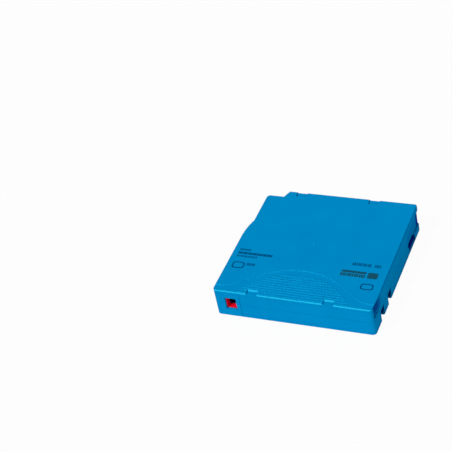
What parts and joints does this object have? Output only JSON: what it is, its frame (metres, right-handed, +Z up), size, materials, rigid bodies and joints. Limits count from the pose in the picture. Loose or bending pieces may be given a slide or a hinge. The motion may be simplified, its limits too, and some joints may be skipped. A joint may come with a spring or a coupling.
{
  "type": "data tape cartridge",
  "caption": "Half-inch data tape cartridge: moulded case with grip ridges, sliding tape door, write protect tab and a braked single reel inside.",
  "frame": {"origin": "middle of the base", "axes": "+Z up from the base, +Y towards the drive, label face at -Y, tape door on the +X side"},
  "size_m": [0.1054, 0.102, 0.0215],
  "materials": {
    "case_plastic": "moulded blue plastic, fine satin texture",
    "tab_plastic": "moulded red plastic",
    "reel_plastic": "moulded off-white plastic",
    "brake_plastic": "moulded natural acetal",
    "plated_steel": "nickel plated steel",
    "spring_steel": "drawn spring wire",
    "tape_film": "dark coated film",
    "chip_board": "green circuit board with potted chip"
  },
  "bodies": {
    "case": {"upper_shell": "case_plastic", "lower_shell": "case_plastic", "case_screws": "plated_steel", "memory_chip": "chip_board", "leader_pin": "plated_steel", "pin_clip": "brake_plastic", "leader_tape": "tape_film", "pin_spring": "spring_steel", "door_spring": "spring_steel", "brake_spring": "spring_steel"},
    "door": {"door": "case_plastic"},
    "tab": {"write_protect_tab": "tab_plastic"},
    "reel": {"reel_hub": "reel_plastic", "reel_upper_flange": "reel_plastic", "reel_plate": "plated_steel", "tape_pack": "tape_film"},
    "brake": {"brake_disc": "brake_plastic"},
    "release": {"release_pad": "brake_plastic"}
  },
  "joints": [
    {"name": "door_slide", "type": "slide", "parent": "case", "child": "door", "axis": [0, -1, 0], "range_m": [0, 0.022], "stiffness_N_per_m": 40, "springref_m": -0.01, "deforming": ["door_spring"]},
    {"name": "tab_slide", "type": "slide", "parent": "case", "child": "tab", "axis": [1, 0, 0], "range_m": [0, 0.004]},
    {"name": "reel_turn", "type": "hinge", "parent": "case", "child": "reel", "pos_m": [-0.0023, 0.0018, 0], "axis": [0, 0, 1], "continuous": true},
    {"name": "brake_lift", "type": "slide", "parent": "case", "child": "brake", "axis": [0, 0, 1], "range_m": [0, 0.0015], "stiffness_N_per_m": 900, "springref_m": -0.003, "deforming": ["brake_spring"]},
    {"name": "release_lift", "type": "slide", "parent": "reel", "child": "release", "axis": [0, 0, 1], "range_m": [0, 0.0015]}
  ],
  "couplings": [
    {"joint": "release_lift", "follows": "brake_lift", "ratio": 1}
  ]
}
